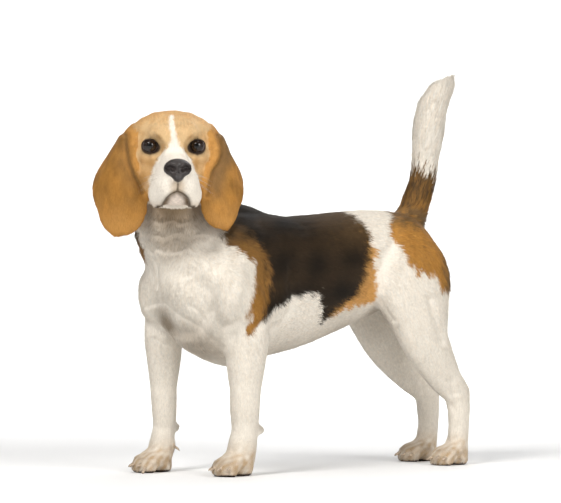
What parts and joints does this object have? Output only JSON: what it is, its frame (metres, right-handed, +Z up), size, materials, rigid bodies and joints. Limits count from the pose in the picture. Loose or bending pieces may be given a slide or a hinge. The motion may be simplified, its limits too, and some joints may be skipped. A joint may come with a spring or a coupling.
{
  "type": "dog",
  "caption": "Still, life-size standing hound with hanging ears, head turned to its left, tail held upright, and a short tricolour coat.",
  "frame": {"origin": "on the floor, under the middle of the whole model's box", "axes": "+Z up, -Y the way the body faces, +X the dog's left, towards which its head is turned"},
  "size_m": [0.2236, 0.6206, 0.5941],
  "materials": {
    "tan_coat": "short sleek tan hair",
    "white_coat": "short sleek white hair",
    "black_coat": "short sleek black-brown hair",
    "nose_leather": "fine-grained damp black skin",
    "eye": "wet, dark brown",
    "claw": "smooth brown horn"
  },
  "bodies": {
    "root": {"claw_fore_left_1": "claw", "claw_fore_left_2": "claw", "claw_fore_left_3": "claw", "claw_fore_left_4": "claw", "claw_fore_left_5": "claw", "claw_fore_right_1": "claw", "claw_fore_right_2": "claw", "claw_fore_right_3": "claw", "claw_fore_right_4": "claw", "claw_fore_right_5": "claw", "claw_hind_left_1": "claw", "claw_hind_left_2": "claw", "claw_hind_left_3": "claw", "claw_hind_left_4": "claw", "claw_hind_right_1": "claw", "claw_hind_right_2": "claw", "claw_hind_right_3": "claw", "claw_hind_right_4": "claw", "ear_left": "tan_coat", "ear_right": "tan_coat", "eye_left": "eye", "eye_right": "eye", "forearm_left": "white_coat", "forearm_right": "white_coat", "forepaw_left": "white_coat", "forepaw_right": "white_coat", "head": "tan_coat", "hindfoot_left": "white_coat", "hindfoot_right": "white_coat", "neck": "white_coat", "nose": "nose_leather", "shank_left": "white_coat", "shank_right": "white_coat", "shoulder_left": "white_coat", "shoulder_right": "white_coat", "tail": "white_coat", "thigh_left": "white_coat", "thigh_right": "white_coat", "trunk": "black_coat"}
  },
  "joints": []
}
